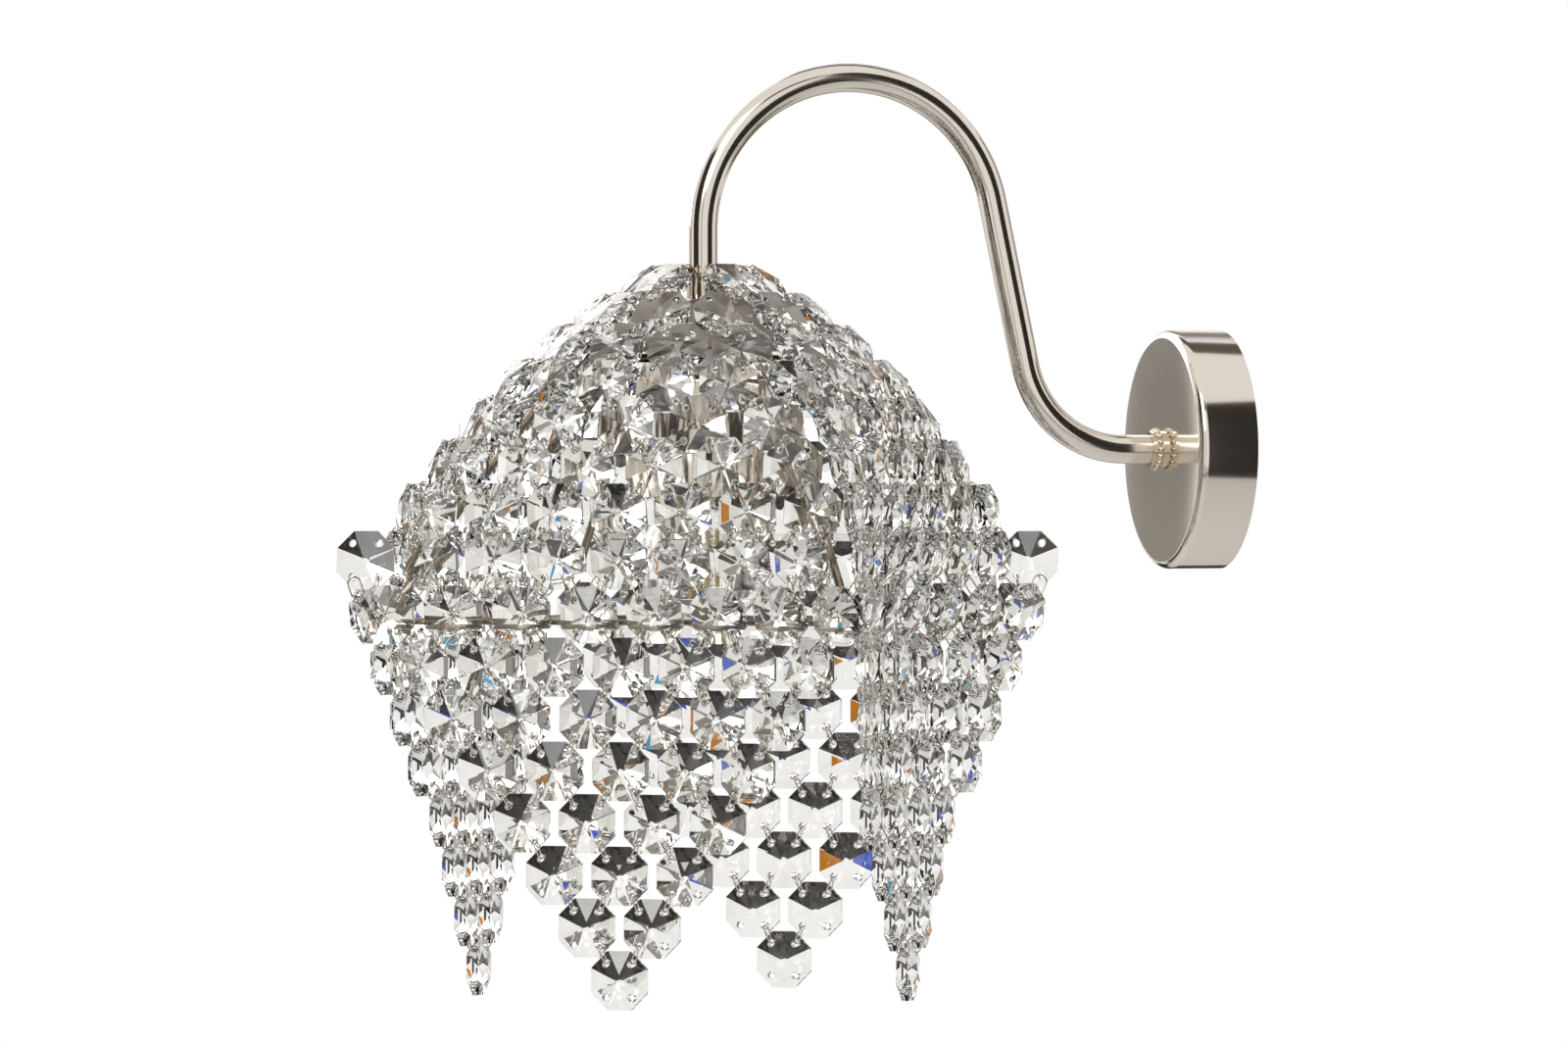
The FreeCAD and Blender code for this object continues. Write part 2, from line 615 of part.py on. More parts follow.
def hang_row(row, straight):
    """The row of crystals that hangs from the gaps of the row above it."""
    centres = []
    for left, right in zip(row, row[1:]):
        middle = (left.centre + right.centre) * 0.5
        reach = V(right.centre - left.centre)
        reach.z = 0
        side_gap = reach.Length / 2 - 2 * HOLE_SIDE
        drop = 2 * HOLE_UP + math.sqrt(max(LINK_LENGTH ** 2 - side_gap ** 2, 9.0))
        centres.append(middle - UP * drop)
    if straight and len(centres) > 2:
        reach = V(centres[-1] - centres[0])
        reach.z = 0
        pitch = reach.Length / (len(centres) - 1)
        middle = V(0, 0, 0)
        for c in centres:
            middle += c * (1.0 / len(centres))
        reach.normalize()
        centres = [middle + reach * (pitch * (i - (len(centres) - 1) / 2)) for i in range(len(centres))]
    beads = []
    for i, centre in enumerate(centres):
        across = V(row[i + 1].centre - row[i].centre)
        if straight:
            across = V(row[-1].centre - row[0].centre)
        across.z = 0
        beads.append(Bead(centre, across, V(UP)))
    return beads


def make_pennant(rim_side):
    rows = [rim_side]
    for count in range(RIM_PER_SIDE - 1, 0, -1):
        rows.append(hang_row(rows[-1], count <= FLAT_ROWS))
    return rows[1:]


def bead_solid():
    """Octagon crystal: a shallow eight-sided point on each face, a thin girdle and four holes."""
    corner = BEAD_WIDTH / 2 / math.cos(math.radians(22.5))
    round_points = [turned(22.5 + 45 * i) * corner for i in range(8)]
    faces = []
    for sign in (1, -1):
        tip = V(0, 0, sign * BEAD_THICKNESS / 2)
        for i in range(8):
            a = round_points[i] + V(0, 0, sign * BEAD_GIRDLE / 2)
            b = round_points[(i + 1) % 8] + V(0, 0, sign * BEAD_GIRDLE / 2)
            faces.append(Part.Face(Part.makePolygon([a, b, tip, a])))
    for i in range(8):
        a = round_points[i]
        b = round_points[(i + 1) % 8]
        half = V(0, 0, BEAD_GIRDLE / 2)
        faces.append(Part.Face(Part.makePolygon([a - half, b - half, b + half, a + half, a - half])))
    solid = Part.Solid(Part.Shell(faces))
    for side in (1, -1):
        for level in (1, -1):
            solid = solid.cut(Part.makeCylinder(HOLE_RADIUS, BEAD_THICKNESS * 2,
                                                V(side * HOLE_SIDE, level * HOLE_UP, -BEAD_THICKNESS)))
    if solid.Volume < 0:
        solid.reverse()
    return solid.Solids[0] if solid.Solids else solid


def placed(solid, centre, x, y, z):
    matrix = FreeCAD.Matrix(x.x, y.x, z.x, centre.x, x.y, y.y, z.y, centre.y,
                            x.z, y.z, z.z, centre.z, 0, 0, 0, 1)
    copy = solid.copy()
    copy.Placement = FreeCAD.Placement(matrix)
    return copy


BEAD = bead_solid()
LINKS = {}


def bead_at(bead):
    return placed(BEAD, bead.centre, bead.across, bead.up, bead.out)


def link_solid(length):
    """A long ring of wire that lies along X, its flat sides to +Z and -Z."""
    steps = max(1, round(length / LINK_STEP))
    if steps not in LINKS:
        half = max(steps * LINK_STEP / 2 - LINK_HALF_WIDTH, 0.05)
        r = LINK_HALF_WIDTH
        a, b = V(-half, 0, r), V(half, 0, r)
        c, d = V(half, 0, -r), V(-half, 0, -r)
        path = Part.Wire([Part.LineSegment(a, b).toShape(), Part.Arc(b, V(half + r, 0, 0), c).toShape(),
                          Part.LineSegment(c, d).toShape(), Part.Arc(d, V(-half - r, 0, 0), a).toShape()])
        circle = Part.Wire(Part.Circle(a, V(1, 0, 0), LINK_WIRE / 2).toShape())
        LINKS[steps] = path.makePipeShell([circle], True, False)
    return LINKS[steps]


def link_at(start, end, out):
    x = V(end - start)
    length = x.Length
    x.normalize()
    y = out.cross(x).normalize()
    z = x.cross(y)
    return placed(link_solid(length), (start + end) * 0.5, x, y, z)


def linked(upper_row, lower_row):
    """Links from each crystal's two top holes to the nearest free bottom holes of the row above."""
    links = []
    pairs = []
    for low in lower_row:
        for side in (-1, 1):
            top = low.hole(side, 1)
            for high in upper_row:
                for other in (-1, 1):
                    gap = (high.hole(other, -1) - top).Length
                    if gap < LINK_LONGEST:
                        pairs.append((gap, low, side, high, other))
    pairs.sort(key=lambda pair: pair[0])
    for gap, low, side, high, other in pairs:
        if (side, 1) in low.used or (other, -1) in high.used:
            continue
        low.used.add((side, 1))
        high.used.add((other, -1))
        links.append(link_at(high.hole(other, -1), low.hole(side, 1), low.out + high.out))
    return links


# ---------------------------------------------------------------- frame of the net

def rib_points(corner):
    """Where the rib starts in the hub, bends down, passes its middle and ends behind the corner."""
    out = turned(corner_angle(corner))
    level = HUB_TOP - HUB_THICKNESS / 2
    end_radius = CORNER_RADIUS - CORNER_CLEAR
    middle_radius = (RIB_BEND_RADIUS + end_radius) / 2 + RIB_BOW
    middle_level = (level + NET_RIM) / 2 + RIB_BOW
    return [AXIS + out * (HUB_DIAMETER / 2 - RIB_SOCKET) + UP * level,
            AXIS + out * RIB_BEND_RADIUS + UP * level,
            AXIS + out * middle_radius + UP * middle_level,
            AXIS + out * end_radius + UP * NET_RIM]


def make_rib(corner):
    """A bent wire from the hub along the ridge, with an eye at its end for the rim wire."""
    root, bend, middle, end = rib_points(corner)
    radius = RIB_DIAMETER / 2
    straight = Part.makeCylinder(radius, (bend - root).Length, root, bend - root)
    arc = Part.Wire(Part.Arc(bend, middle, end).toShape())
    rib = straight.fuse(Part.makeSphere(radius, bend)).fuse(swept(arc, radius))
    return rib.removeSplitter()


def make_rim_wires():
    """Four bowed wires inside the rim that carry the net from rib to rib."""
    inset = BEAD_THICKNESS / 2 + RIM_WIRE_DIAMETER / 2 + RIM_WIRE_GAP
    level = UP * (NET_RIM - RIB_DIAMETER / 2 - RIM_WIRE_DIAMETER / 2)
    wires = []
    for side, (name, near, drift) in enumerate(SIDES):
        start = corner_angle(side)
        corner = CORNER_RADIUS - CORNER_CLEAR
        first = turned(start + RIM_WIRE_PART) * corner
        last = turned(start + 90 - RIM_WIRE_PART) * corner
        control = turned(start + 45 + drift) * (2 * (near - inset)) - (first + last) * 0.5
        curve = Part.BezierCurve()
        curve.setPoles([AXIS + level + p for p in (first, control, last)])
        wires.append(swept(Part.Wire(curve.toShape()), RIM_WIRE_DIAMETER / 2))
    return Part.makeCompound(wires)


# ---------------------------------------------------------------- everything

def crown_hooks(top_row):
    hooks = []
    for bead in top_row:
        for side in (-1, 1):
            top = bead.hole(side, 1)
            flat = V(top - AXIS)
            flat.z = 0
            flat.normalize()
            hooks.append(AXIS + flat * CROWN_HOLE_CIRCLE + UP * (CROWN_TOP - CROWN_THICKNESS / 2))
    return hooks


def make_all():
    rows = make_net()
    hooks = crown_hooks(rows[0])
    parts = {
        "wall_cup": make_cup(),
        "wall_bracket": make_bracket(),
        "cup_grub_screws": make_cup_screws(),
        "terminal_block": make_terminal_block(),
        "terminal_screws": make_terminal_screws(),
        "earth_screw": make_earth_screw(),
        "arm_tube": make_arm(),
        "arm_grub_screw": make_arm_screw(),
        "beaded_collar": make_collar(),
        "arm_washer": make_arm_washer(),
        "arm_lock_nut": make_arm_nut(),
        "cable_bush": make_cable_bush(),
        "shade_nipple": make_nipple(),
        "crown_disc": make_crown(hooks),
        "nipple_spacers": Part.makeCompound([make_cap_spacer(), make_hub_spacer()]),
        "shade_cap": make_cap(),
        "frame_hub": make_hub(),
        "nipple_nuts": Part.makeCompound([make_hub_nut(), make_holder_nut()]),
        "holder_cup": make_holder_cup(),
        "lampholder_body": make_holder_body(),
        "centre_contact": make_centre_contact(),
        "bulb_cap": make_bulb_cap(),
        "bulb_glass": make_bulb_glass(),
        "rim_wires": make_rim_wires(),
    }
    for corner, name in enumerate(("outer", "near", "wall", "far")):
        parts["rib_" + name] = make_rib(corner)
    crystals = [Part.makeCompound([bead_at(b) for b in row]) for row in rows]
    parts["net_crown_crystals"] = Part.makeCompound(crystals[:2])
    for row, group in enumerate(crystals[2:]):
        parts["net_row_%d_crystals" % (row + 3)] = group
    top_links = []
    for i, hook in enumerate(hooks):
        bead = rows[0][i // 2]
        side = (-1, 1)[i % 2]
        bead.used.add((side, 1))
        top_links.append(link_at(hook, bead.hole(side, 1), bead.out + UP))
    links = [top_links] + [linked(a, b) for a, b in zip(rows, rows[1:])]
    middle = NET_ROWS // 2 + 1
    parts["net_upper_links"] = Part.makeCompound([k for group in links[:middle] for k in group])
    parts["net_lower_links"] = Part.makeCompound([k for group in links[middle:] for k in group])
    upper_links = []
    for side in range(4):
        rim_side = rows[-1][side * RIM_PER_SIDE:(side + 1) * RIM_PER_SIDE]
        upper_links += add_pennant(parts, SIDES[side][0], rim_side)
    parts["pennant_upper_links"] = Part.makeCompound(upper_links)
    return parts


def add_pennant(parts, name, rim_side):
    """One pennant as three bodies: the part that stays, the swinging fringe and its lowest drop."""
    pennant = make_pennant(rim_side)
    above = [rim_side] + pennant[:-1]
    wires = [linked(above[i], pennant[i]) for i in range(len(pennant))]
    fixed = RIM_PER_SIDE - 1 - FRINGE_ROWS
    groups = (("upper", 0, fixed), ("fringe", fixed, len(pennant) - 1),
              ("drop", len(pennant) - 1, len(pennant)))
    for part_name, first, last in groups:
        crystals = [bead_at(b) for row in pennant[first:last] for b in row]
        label = "pennant_%s_%s" % (name, part_name)
        parts[label + "_crystals"] = Part.makeCompound(crystals)
        if first:
            parts[label + "_links"] = Part.makeCompound([k for row in wires[first:last] for k in row])
    return [k for row in wires[:fixed] for k in row]


os.makedirs("parts", exist_ok=True)
PARTS = make_all()
for node, shape in PARTS.items():
    shape.exportStep("parts/%s.step" % node)
    print(node, len(shape.Solids), round(shape.Volume, 1), shape.isValid())
print(len(PARTS), "nodes", sum(len(s.Solids) for s in PARTS.values()), "solids")
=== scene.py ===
"""Crystal wall sconce: its finishes, polished metalwork, wire links and lamp, and the studio round it."""
import json
import math

import bpy
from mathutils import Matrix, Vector

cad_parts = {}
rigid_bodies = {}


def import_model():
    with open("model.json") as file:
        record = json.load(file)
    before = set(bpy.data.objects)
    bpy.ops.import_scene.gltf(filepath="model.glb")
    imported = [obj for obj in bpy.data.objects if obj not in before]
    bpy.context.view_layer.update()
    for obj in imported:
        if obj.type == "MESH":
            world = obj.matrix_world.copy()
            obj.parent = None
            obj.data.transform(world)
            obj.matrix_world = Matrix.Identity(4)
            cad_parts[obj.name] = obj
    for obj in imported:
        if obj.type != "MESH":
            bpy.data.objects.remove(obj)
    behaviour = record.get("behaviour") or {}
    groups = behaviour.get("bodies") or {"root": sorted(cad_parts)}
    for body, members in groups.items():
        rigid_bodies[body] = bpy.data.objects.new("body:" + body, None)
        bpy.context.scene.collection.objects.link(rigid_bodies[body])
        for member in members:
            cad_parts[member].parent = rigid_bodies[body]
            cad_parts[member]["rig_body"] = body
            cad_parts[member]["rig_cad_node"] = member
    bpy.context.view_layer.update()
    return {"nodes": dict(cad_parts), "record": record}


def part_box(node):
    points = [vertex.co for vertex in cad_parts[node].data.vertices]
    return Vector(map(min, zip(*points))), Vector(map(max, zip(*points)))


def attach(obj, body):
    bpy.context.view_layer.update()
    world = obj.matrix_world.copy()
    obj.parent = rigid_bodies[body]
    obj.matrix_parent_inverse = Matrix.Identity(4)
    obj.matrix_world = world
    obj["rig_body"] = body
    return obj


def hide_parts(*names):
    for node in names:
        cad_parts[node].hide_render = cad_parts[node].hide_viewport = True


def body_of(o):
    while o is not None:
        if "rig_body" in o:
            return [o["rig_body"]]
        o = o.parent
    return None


bl_info = {
    "name": "Crystal wall sconce",
    "version": (1, 0, 0),
    "blender": (4, 5, 0),
    "location": "3D View > Sidebar > Sconce",
    "description": "Dresses the sconce: crystals, polished metal, lamp, studio",
    "category": "Object",
}

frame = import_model()
NODES = frame["nodes"]
MM = 0.001

# Shade axis and heights, read from the frame.
AXIS_LOW, AXIS_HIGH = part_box("shade_nipple")
AXIS_X = (AXIS_LOW[0] + AXIS_HIGH[0]) / 2
AXIS_Y = (AXIS_LOW[1] + AXIS_HIGH[1]) / 2
CUP_LOW, CUP_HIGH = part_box("wall_cup")
TUBE_LOW, TUBE_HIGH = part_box("arm_tube")

# The photograph: 1600 pixels wide, a long lens almost square to the arm.
PHOTO_WIDTH = 1600.0
PHOTO_HEIGHT = 1068.0
PHOTO_MM_PER_PIXEL = 0.34
PHOTO_WALL_PIXEL = (1249.0, 457.5)
VIEW_AZIMUTH = 73.0
CAMERA_DISTANCE = 3.2

ARM_HOLE = 10.4 * MM
FLOOR_HEIGHT = -0.75
WORLD_LEVEL = 0.8

# Sizes of the metalwork and the lamp that nobody would change by themselves.
NIPPLE_HOLE = 3.9 * MM
CAP_WALL = 1.2 * MM
HOLDER_EDGE = 2.0 * MM
HOLDER_WALL = 1.0 * MM
STEM_RADIUS = 2.2 * MM
STEM_FOOT = 3.0 * MM
STEM_STEPS = ((4.0 * MM, 1.1), (5.0 * MM, 1.9), (3.0 * MM, 1.7))
STEM_EDGE = 0.6 * MM
FILAMENT_RADIUS = 0.8 * MM
FILAMENT_RING = 5.0 * MM
FILAMENT_EDGE = 0.3 * MM
MERGE = 1e-6
MOST_LINK_FACES = 180000

# Lamps: name, place, width, power in watts.
LAMPS = (("key", (1.1, -1.0, 0.9), 0.9, 9.0), ("back", (-0.9, -0.5, 0.5), 0.8, 6.0))

# Studio cards: name, azimuth and elevation from the shade, distance, width, height, colour.
# Azimuth 73 is the camera's side and 253 is behind the object.
DARK = (0.026, 0.020, 0.016)
BROWN = (0.17, 0.135, 0.105)
GREY = (0.42, 0.40, 0.375)
BLUE = (0.02, 0.13, 0.95)
CYAN = (0.05, 0.60, 1.0)
ORANGE = (1.0, 0.36, 0.01)
CARDS = (
    ("card_low_behind", 253.0, -27.0, 1.6, 1.5, 0.76, DARK),
    ("card_low_left", 205.0, -22.0, 1.6, 0.9, 0.66, BROWN),
    ("card_low_right", 301.0, -22.0, 1.6, 0.9, 0.66, BROWN),
    ("card_low_front", 73.0, -38.0, 1.7, 2.4, 0.9, DARK),
    ("card_left_behind", 224.0, 9.0, 1.6, 0.30, 0.9, GREY),
    ("card_right_behind", 283.0, 8.0, 1.6, 0.30, 0.9, GREY),
    ("card_far_left", 198.0, 12.0, 1.6, 0.42, 0.9, BROWN),
    ("card_far_right", 312.0, 12.0, 1.6, 0.42, 0.9, BROWN),
    ("card_left", 128.0, 5.0, 1.5, 1.15, 2.2, DARK),
    ("card_right", 12.0, 5.0, 1.5, 1.30, 2.2, DARK),
    ("card_front", 58.0, 6.0, 3.6, 0.30, 2.6, BROWN),
    ("card_high_behind", 253.0, 33.0, 1.6, 1.7, 0.40, GREY),
    ("card_top", 240.0, 58.0, 1.4, 1.0, 0.40, BROWN),
    ("card_high_front", 73.0, 42.0, 1.8, 1.6, 0.30, BROWN),
    # The coloured strips are painted reflections of rainbow fire: seen in the crystals, they stand in for
    # dispersion, which the crystal material lacks.
    ("strip_blue_low", 253.0, -11.5, 1.5, 1.2, 0.016, BLUE),
    ("strip_orange_low", 240.0, -44.0, 1.5, 0.8, 0.03, ORANGE),
    ("strip_orange_high", 250.0, 24.0, 1.5, 1.4, 0.024, ORANGE),
    ("strip_cyan_high", 262.0, 16.0, 1.5, 0.9, 0.016, CYAN),
    ("strip_blue_high", 245.0, 42.0, 1.5, 0.9, 0.03, BLUE),
    ("strip_orange_left", 233.0, 4.0, 1.5, 0.018, 0.9, ORANGE),
    ("strip_blue_right", 274.0, 4.0, 1.5, 0.018, 0.9, BLUE),
    ("strip_orange_right", 296.0, 4.0, 1.5, 0.024, 0.9, ORANGE),
    ("strip_blue_left", 212.0, 4.0, 1.5, 0.024, 0.9, BLUE),
)


class SconceSizes(bpy.types.PropertyGroup):
    """Sizes that a user would change."""
    cup_edge: bpy.props.FloatProperty(
        name="Cup edge", description="Radius of the rounded front edge of the wall cup",
        default=3.0 * MM, unit="LENGTH")
    cup_wall: bpy.props.FloatProperty(
        name="Cup wall", description="Sheet thickness of the wall cup", default=1.2 * MM, unit="LENGTH")
    tube_bore: bpy.props.FloatProperty(
        name="Arm bore", description="Inner diameter of the arm tube", default=7.6 * MM, unit="LENGTH")
    foot_lean: bpy.props.FloatProperty(
        name="Arm lean", description="Lean of the arm's rising stretch from upright",
        default=math.radians(11.9), subtype="ANGLE")
    foot_reach: bpy.props.FloatProperty(
        name="Foot reach", description="Where the arm's rising stretch would meet its foot",
        default=65.3 * MM, unit="LENGTH")
    foot_bend: bpy.props.FloatProperty(
        name="Foot bend", description="Radius of the bend at the arm's foot", default=37.0 * MM, unit="LENGTH")
    link_detail: bpy.props.FloatProperty(
        name="Link detail", description="Share of the links' faces that is kept",
        default=0.3, min=0.05, max=1.0, subtype="FACTOR")
    filament_count: bpy.props.IntProperty(
        name="Filaments", description="Number of upright filaments in the lamp", default=4)
    filament_length: bpy.props.FloatProperty(
        name="Filament length", description="Length of each filament", default=24.0 * MM, unit="LENGTH")


class SconceFinishes(bpy.types.PropertyGroup):
    """Colours that a user would change."""
    nickel: bpy.props.FloatVectorProperty(
        name="Nickel", description="Warm polished nickel of the arm and cup",
        default=(0.64, 0.545, 0.43), subtype="COLOR")
    wire: bpy.props.FloatVectorProperty(
        name="Link wire", description="Wire of the links", default=(0.30, 0.245, 0.185), subtype="COLOR")
    cap: bpy.props.FloatVectorProperty(
        name="Cap", description="Bronzed cap in the head of the shade",
        default=(0.42, 0.35, 0.29), subtype="COLOR")
    crystal_ior: bpy.props.FloatProperty(
        name="Crystal index", description="Refractive index of the crystals", default=1.56)
    floor: bpy.props.FloatVectorProperty(
        name="Floor", description="Pale studio floor", default=(0.86, 0.86, 0.86), subtype="COLOR")


def new_material(name):
    material = bpy.data.materials.new(name)
    material.use_nodes = True
    nodes = material.node_tree.nodes
    return material, nodes, material.node_tree.links, nodes["Principled BSDF"]


def object_noise(nodes, links, scale, detail=3.0, stretch=(1.0, 1.0, 1.0)):
    """Noise on the piece's own Object coordinates."""
    place = nodes.new("ShaderNodeTexCoord")
    mapping = nodes.new("ShaderNodeMapping")
    mapping.inputs["Scale"].default_value = stretch
    noise = nodes.new("ShaderNodeTexNoise")
    noise.inputs["Scale"].default_value = scale
    noise.inputs["Detail"].default_value = detail
    links.new(place.outputs["Object"], mapping.inputs["Vector"])
    links.new(mapping.outputs["Vector"], noise.inputs["Vector"])
    return noise


def ramp(nodes, links, source, stops):
    """A colour ramp from (place, colour) stops."""
    node = nodes.new("ShaderNodeValToRGB")
    elements = node.color_ramp.elements
    elements[0].position, elements[0].color = stops[0][0], tuple(stops[0][1]) + (1.0,)
    elements[1].position, elements[1].color = stops[-1][0], tuple(stops[-1][1]) + (1.0,)
    for place, colour in stops[1:-1]:
        element = elements.new(place)
        element.color = tuple(colour) + (1.0,)
    links.new(source, node.inputs["Fac"])
    return node


def roughness_from(nodes, links, noise, shader, low, high):
    """Let noise drive the roughness between two levels."""
    reach = nodes.new("ShaderNodeMapRange")
    reach.inputs["To Min"].default_value = low
    reach.inputs["To Max"].default_value = high
    links.new(noise.outputs["Fac"], reach.inputs["Value"])
    links.new(reach.outputs["Result"], shader.inputs["Roughness"])


def bump_from(nodes, links, noise, shader, strength, distance):
    """Raise the surface faintly by noise."""
    bump = nodes.new("ShaderNodeBump")
    bump.inputs["Strength"].default_value = strength
    bump.inputs["Distance"].default_value = distance
    links.new(noise.outputs["Fac"], bump.inputs["Height"])
    links.new(bump.outputs["Normal"], shader.inputs["Normal"])


def metal(name, colour, low, high, scale=60.0, darker=0.86, bump=0.0):
    """Metal with faint cloudy variation in colour and polish."""
    material, nodes, links, shader = new_material(name)
    shader.inputs["Metallic"].default_value = 1.0
    noise = object_noise(nodes, links, scale)
    tint = ramp(nodes, links, noise.outputs["Fac"],
                [(0.3, [c * darker for c in colour]), (0.7, list(colour))])
    links.new(tint.outputs["Color"], shader.inputs["Base Color"])
    fine = object_noise(nodes, links, scale * 14, 5.0)
    roughness_from(nodes, links, fine, shader, low, high)
    if bump:
        bump_from(nodes, links, fine, shader, bump, 0.00004)
    return material


def moulded(name, colour, roughness):
    """Moulded insulating plastic or ceramic."""
    material, nodes, links, shader = new_material(name)
    noise = object_noise(nodes, links, 300.0, 4.0)
    tint = ramp(nodes, links, noise.outputs["Fac"],
                [(0.25, [c * 0.93 for c in colour]), (0.75, list(colour))])
    links.new(tint.outputs["Color"], shader.inputs["Base Color"])
    roughness_from(nodes, links, noise, shader, roughness - 0.06, roughness + 0.06)
    bump_from(nodes, links, noise, shader, 0.25, 0.00005)
    return material


def crystal_material(index):
    """Cut lead crystal, polished, its clear colour greyed a little as painted shade, with the faintest streaks
    inside it.
    """
    material, nodes, links, shader = new_material("cut_crystal")
    shader.inputs["Transmission Weight"].default_value = 1.0
    shader.inputs["IOR"].default_value = index
    shader.inputs["Specular IOR Level"].default_value = 0.6
    noise = object_noise(nodes, links, 90.0, 2.0)
    # The grey of this tint is painted shade that darkens all the crystals; the noise between its two greys is
    # random tone.
    tint = ramp(nodes, links, noise.outputs["Fac"],
                [(0.3, (0.84, 0.825, 0.79)), (0.7, (0.93, 0.92, 0.895))])
    links.new(tint.outputs["Color"], shader.inputs["Base Color"])
    roughness_from(nodes, links, noise, shader, 0.0, 0.012)
    return material


def bulb_material():
    """Thin clear glass of the lamp."""
    material, nodes, links, shader = new_material("clear_bulb_glass")
    shader.inputs["Transmission Weight"].default_value = 1.0
    shader.inputs["IOR"].default_value = 1.45
    noise = object_noise(nodes, links, 40.0, 2.0)
    tint = ramp(nodes, links, noise.outputs["Fac"],
                [(0.3, (0.97, 0.97, 0.96)), (0.7, (1.0, 1.0, 1.0))])
    links.new(tint.outputs["Color"], shader.inputs["Base Color"])
    roughness_from(nodes, links, noise, shader, 0.0, 0.02)
    return material


def dress(node, material):
    """Give a carried-over piece its material."""
    mesh_object = NODES[node]
    mesh_object.data.materials.clear()
    mesh_object.data.materials.append(material)


def deselect():
    """Leave edit mode and select nothing."""
    if bpy.context.object and bpy.context.object.mode != "OBJECT":
        bpy.ops.object.mode_set(mode="OBJECT")
    bpy.ops.object.select_all(action="DESELECT")


def settle(piece):
    """Move the place of a finished piece into its mesh."""
    deselect()
    piece.select_set(True)
    bpy.context.view_layer.objects.active = piece
    bpy.ops.object.transform_apply(location=True, rotation=True, scale=True)
    deselect()


def clean(piece, angle=30.0):
    """Merge doubles, turn faces outwards and smooth by angle."""
    deselect()
    piece.select_set(True)
    bpy.context.view_layer.objects.active = piece
    bpy.ops.object.mode_set(mode="EDIT")
    bpy.ops.mesh.select_all(action="SELECT")
    bpy.ops.mesh.remove_doubles(threshold=MERGE)
    bpy.ops.mesh.normals_make_consistent(inside=False)
    bpy.ops.object.mode_set(mode="OBJECT")
    bpy.ops.object.shade_smooth_by_angle(angle=math.radians(angle))
    deselect()


def start_piece(name):
    """Name the primitive just added and open it for editing with nothing selected."""
    piece = bpy.context.object
    piece.name = name
    settle(piece)
    piece.select_set(True)
    bpy.context.view_layer.objects.active = piece
    return piece


def pick(piece, kind, test):
    """Select the faces, edges or vertices whose middle passes the test, and leave edit mode on."""
    bpy.context.view_layer.objects.active = piece
    bpy.ops.object.mode_set(mode="EDIT")
    bpy.ops.mesh.select_mode(type=kind)
    bpy.ops.mesh.select_all(action="DESELECT")
    bpy.ops.object.mode_set(mode="OBJECT")
    mesh = piece.data
    found = 0
    if kind == "FACE":
        for face in mesh.polygons:
            face.select = test(face.center, face.normal)
            found += face.select
    elif kind == "EDGE":
        for edge in mesh.edges:
            ends = [mesh.vertices[i].co for i in edge.vertices]
            edge.select = test(ends[0], ends[1])
            found += edge.select
    else:
        for vertex in mesh.vertices:
            vertex.select = test(vertex.co, vertex.normal)
            found += vertex.select
    bpy.ops.object.mode_set(mode="EDIT")
    if not found:
        raise RuntimeError("nothing to shape on " + piece.name)


def thicken(piece, thickness, offset=-1.0):
    """Give a sheet its wall, inwards unless told otherwise."""
    bpy.ops.object.mode_set(mode="OBJECT")
    bpy.context.view_layer.objects.active = piece
    wall = piece.modifiers.new("wall", "SOLIDIFY")
    wall.thickness = thickness
    wall.offset = offset
    wall.use_even_offset = True
    wall.use_quality_normals = True
    bpy.ops.object.modifier_apply(modifier=wall.name)


def outwards(piece):
    """Merge doubles and turn all faces of an open sheet outwards."""
    bpy.ops.object.mode_set(mode="EDIT")
    bpy.ops.mesh.select_all(action="SELECT")
    bpy.ops.mesh.remove_doubles(threshold=MERGE)
    bpy.ops.mesh.normals_make_consistent(inside=False)
    bpy.ops.object.mode_set(mode="OBJECT")


def pressed_cup(name, radius, closed_end, open_end, axis, edge, bore, wall, sections):
    """A deep-drawn cup: a cylinder with its mouth open, its end pierced and the end's edge rounded."""
    direction = Vector(axis)
    middle = Vector(closed_end) + (Vector(open_end) - Vector(closed_end)) / 2
    depth = (Vector(open_end) - Vector(closed_end)).length
    deselect()
    bpy.ops.mesh.primitive_cylinder_add(vertices=sections, radius=radius, depth=depth, location=middle,
                                        rotation=direction.to_track_quat("Z", "Y").to_euler())
    cup = start_piece(name)
    pick(cup, "FACE", lambda centre, normal: normal.dot(direction) < -0.9)
    bpy.ops.mesh.delete(type="FACE")
    end = Vector(closed_end).dot(direction)
    pick(cup, "EDGE",
         lambda p, q: abs(p.dot(direction) - end) < 1e-5 and abs(q.dot(direction) - end) < 1e-5)
    bpy.ops.mesh.bevel(offset=edge, segments=10, profile=0.5, affect="EDGES")
    pick(cup, "FACE", lambda centre, normal: normal.dot(direction) > 0.9999)
    bpy.ops.mesh.inset(thickness=(radius - edge) * 0.5)
    bpy.ops.mesh.inset(thickness=(radius - edge) * 0.5 - bore)
    bpy.ops.mesh.delete(type="FACE")
    outwards(cup)
    thicken(cup, wall)
    clean(cup, 40.0)
    return cup


def finish_piece(piece, material, body, nodes=()):
    """Give a piece its material and body, and hide the nodes that it stands for."""
    piece.data.materials.clear()
    piece.data.materials.append(material)
    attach(piece, body)
    if nodes:
        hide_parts(*nodes)


